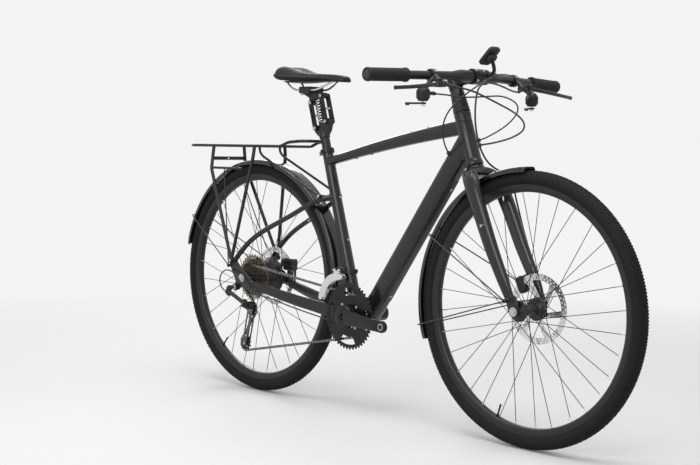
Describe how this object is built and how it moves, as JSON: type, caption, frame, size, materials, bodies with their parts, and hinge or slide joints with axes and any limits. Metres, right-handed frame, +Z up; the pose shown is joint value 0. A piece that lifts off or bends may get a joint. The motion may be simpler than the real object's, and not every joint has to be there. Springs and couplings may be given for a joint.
{
  "type": "electric gravel bike",
  "caption": "Flat-bar electric gravel bike with a rear hub motor, battery in the down tube, disc brakes, derailleur gears, mudguards, rear rack and a linkage-sprung seat post.",
  "frame": {"origin": "on the floor, below the middle of the bicycle's length and width", "axes": "+X forward, +Y to the rider's left, +Z up"},
  "size_m": [1.746, 0.743, 1.0129],
  "materials": {
    "frame_paint": "satin gloss",
    "satin_black": "satin",
    "gloss_black_plastic": "gloss",
    "matte_black_plastic": "matte",
    "anodised_black": "anodised",
    "polished": "brushed",
    "steel": "brushed",
    "chrome": "polished",
    "grip_rubber": "matte",
    "tyre_rubber": "matte",
    "seat_cover": "fine grain"
  },
  "bodies": {
    "frame": {"main_frame": "frame_paint", "battery_cover": "frame_paint", "seat_clamp": "anodised_black", "rear_rack": "satin_black", "rear_mudguard": "gloss_black_plastic", "rear_mudguard_stays": "steel", "rear_caliper": "anodised_black", "rear_axle": "anodised_black", "front_derailleur_body": "anodised_black", "rear_brake_hose": "grip_rubber", "rear_gear_cable": "grip_rubber", "front_gear_cable": "grip_rubber", "derailleur_cable": "grip_rubber", "chain": "steel"},
    "front_assembly": {"fork": "frame_paint", "stem": "anodised_black", "handlebar": "anodised_black", "grip_left": "grip_rubber", "grip_right": "grip_rubber", "controls_left": "matte_black_plastic", "controls_right": "matte_black_plastic", "display_mount": "matte_black_plastic", "front_caliper": "anodised_black", "front_axle": "anodised_black", "front_brake_hose": "grip_rubber", "front_mudguard": "gloss_black_plastic", "front_mudguard_stays": "steel"},
    "left_brake_lever": {"brake_lever_left": "anodised_black"},
    "right_brake_lever": {"brake_lever_right": "anodised_black"},
    "left_shift_lever": {"shift_lever_left": "matte_black_plastic"},
    "right_shift_lever": {"shift_lever_right": "matte_black_plastic"},
    "display_unit": {"display": "gloss_black_plastic"},
    "front_wheel": {"front_tyre": "tyre_rubber", "front_rim": "satin_black", "front_hub": "anodised_black", "front_rotor": "steel"},
    "rear_wheel": {"rear_tyre": "tyre_rubber", "rear_rim": "satin_black", "motor_hub": "anodised_black", "rear_rotor": "steel"},
    "crankset": {"crank_right": "anodised_black", "crank_left": "anodised_black", "chainring_small": "anodised_black", "chainring_large": "anodised_black"},
    "sprockets": {"cassette": "steel"},
    "derailleur_base": {"derailleur_b_knuckle": "anodised_black"},
    "derailleur_parallelogram": {"derailleur_link": "anodised_black"},
    "derailleur_head": {"derailleur_p_knuckle": "anodised_black"},
    "pulley_cage": {"derailleur_cage": "polished"},
    "upper_pulley": {"guide_pulley": "matte_black_plastic"},
    "lower_pulley": {"tension_pulley": "matte_black_plastic"},
    "front_cage": {"front_derailleur_cage": "polished"},
    "port_cover": {"charge_port_cover": "matte_black_plastic"},
    "post": {"seatpost": "anodised_black", "coil_spring": "chrome"},
    "front_link": {"suspension_front_link": "anodised_black"},
    "rear_link": {"suspension_rear_link": "anodised_black"},
    "saddle_head": {"suspension_head": "anodised_black", "saddle_base": "matte_black_plastic", "saddle": "seat_cover"}
  },
  "joints": [
    {"name": "steering", "type": "hinge", "parent": "frame", "child": "front_assembly", "pos_m": [0.33595, 0, 0.70703], "axis": [-0.3256, 0, 0.9455], "range_deg": [-45, 45], "deforming": ["rear_brake_hose", "rear_gear_cable", "front_gear_cable"]},
    {"name": "left_brake_pull", "type": "hinge", "parent": "front_assembly", "child": "left_brake_lever", "pos_m": [0.368, 0.181, 0.914], "axis": [0, 0, 1], "range_deg": [0, 15], "stiffness_Nm_per_rad": 0.8, "springref_deg": -14.32},
    {"name": "right_brake_pull", "type": "hinge", "parent": "front_assembly", "child": "right_brake_lever", "pos_m": [0.368, -0.181, 0.914], "axis": [0, 0, 1], "range_deg": [-15, 0], "stiffness_Nm_per_rad": 0.8, "springref_deg": 14.32},
    {"name": "left_shift_push", "type": "hinge", "parent": "front_assembly", "child": "left_shift_lever", "pos_m": [0.348, 0.213, 0.886], "axis": [0, 0, 1], "range_deg": [-20, 0], "stiffness_Nm_per_rad": 0.3, "springref_deg": 11.46},
    {"name": "right_shift_push", "type": "hinge", "parent": "front_assembly", "child": "right_shift_lever", "pos_m": [0.348, -0.213, 0.886], "axis": [0, 0, 1], "range_deg": [0, 20], "stiffness_Nm_per_rad": 0.3, "springref_deg": -11.46},
    {"name": "display_twist", "type": "hinge", "parent": "front_assembly", "child": "display_unit", "pos_m": [0.378, 0, 0.99], "axis": [-0.6947, 0, 0.7193], "range_deg": [0, 90]},
    {"name": "front_wheel_spin", "type": "hinge", "parent": "front_assembly", "child": "front_wheel", "pos_m": [0.522, 0, 0.351], "axis": [0, 1, 0], "continuous": true},
    {"name": "rear_wheel_spin", "type": "hinge", "parent": "frame", "child": "rear_wheel", "pos_m": [-0.522, 0, 0.351], "axis": [0, 1, 0], "continuous": true},
    {"name": "pedalling", "type": "hinge", "parent": "frame", "child": "crankset", "pos_m": [-0.07, 0, 0.279], "axis": [0, 1, 0], "continuous": true, "deforming": ["chain"]},
    {"name": "freewheel_spin", "type": "hinge", "parent": "frame", "child": "sprockets", "pos_m": [-0.522, 0, 0.351], "axis": [0, 1, 0], "continuous": true},
    {"name": "derailleur_swing", "type": "hinge", "parent": "frame", "child": "derailleur_base", "pos_m": [-0.544, -0.0745, 0.322], "axis": [0, 1, 0], "range_deg": [0, 12], "stiffness_Nm_per_rad": 4, "springref_deg": -17.19, "deforming": ["derailleur_cable", "chain"]},
    {"name": "derailleur_shift", "type": "hinge", "parent": "derailleur_base", "child": "derailleur_parallelogram", "pos_m": [-0.566, -0.089, 0.306], "axis": [0.4244, 0, 0.9055], "range_deg": [-10, 10], "deforming": ["chain"]},
    {"name": "derailleur_level", "type": "hinge", "parent": "derailleur_parallelogram", "child": "derailleur_head", "pos_m": [-0.502, -0.083, 0.276], "axis": [0.4244, 0, 0.9055], "range_deg": [-10, 10]},
    {"name": "chain_tension", "type": "hinge", "parent": "derailleur_head", "child": "pulley_cage", "pos_m": [-0.4995, -0.0473, 0.268], "axis": [0, 1, 0], "range_deg": [-30, 10], "stiffness_Nm_per_rad": 3, "deforming": ["chain"]},
    {"name": "upper_pulley_spin", "type": "hinge", "parent": "pulley_cage", "child": "upper_pulley", "pos_m": [-0.508, -0.0473, 0.255], "axis": [0, 1, 0], "continuous": true},
    {"name": "lower_pulley_spin", "type": "hinge", "parent": "pulley_cage", "child": "lower_pulley", "pos_m": [-0.53354, -0.0473, 0.14801], "axis": [0, 1, 0], "continuous": true},
    {"name": "front_shift", "type": "hinge", "parent": "frame", "child": "front_cage", "pos_m": [-0.138, -0.0385, 0.4025], "axis": [1, 0, 0], "range_deg": [-5, 1], "stiffness_Nm_per_rad": 2, "deforming": ["chain"]},
    {"name": "port_cover_open", "type": "hinge", "parent": "frame", "child": "port_cover", "pos_m": [-0.05408, 0, 0.31441], "axis": [0, 1, 0], "range_deg": [-100, 0]},
    {"name": "post_height", "type": "slide", "parent": "frame", "child": "post", "axis": [-0.284, 0, 0.9588], "range_m": [0, 0.08]},
    {"name": "seat_suspension", "type": "hinge", "parent": "post", "child": "front_link", "pos_m": [-0.22298, 0, 0.82596], "axis": [0, 1, 0], "range_deg": [-28, 0], "stiffness_Nm_per_rad": 110, "springref_deg": 3.44, "deforming": ["coil_spring"]},
    {"name": "rear_link_swing", "type": "hinge", "parent": "post", "child": "rear_link", "pos_m": [-0.26698, 0, 0.80596], "axis": [0, 1, 0], "range_deg": [-28, 0]},
    {"name": "head_level", "type": "hinge", "parent": "front_link", "child": "saddle_head", "pos_m": [-0.24498, 0, 0.89996], "axis": [0, 1, 0], "range_deg": [0, 28]}
  ],
  "couplings": [
    {"joint": "freewheel_spin", "follows": "pedalling", "ratio": 1.5},
    {"joint": "upper_pulley_spin", "follows": "pedalling", "ratio": -2.7273},
    {"joint": "lower_pulley_spin", "follows": "pedalling", "ratio": 2.7273},
    {"joint": "derailleur_level", "follows": "derailleur_shift", "ratio": -1},
    {"joint": "rear_link_swing", "follows": "seat_suspension", "ratio": 1},
    {"joint": "head_level", "follows": "seat_suspension", "ratio": -1}
  ]
}
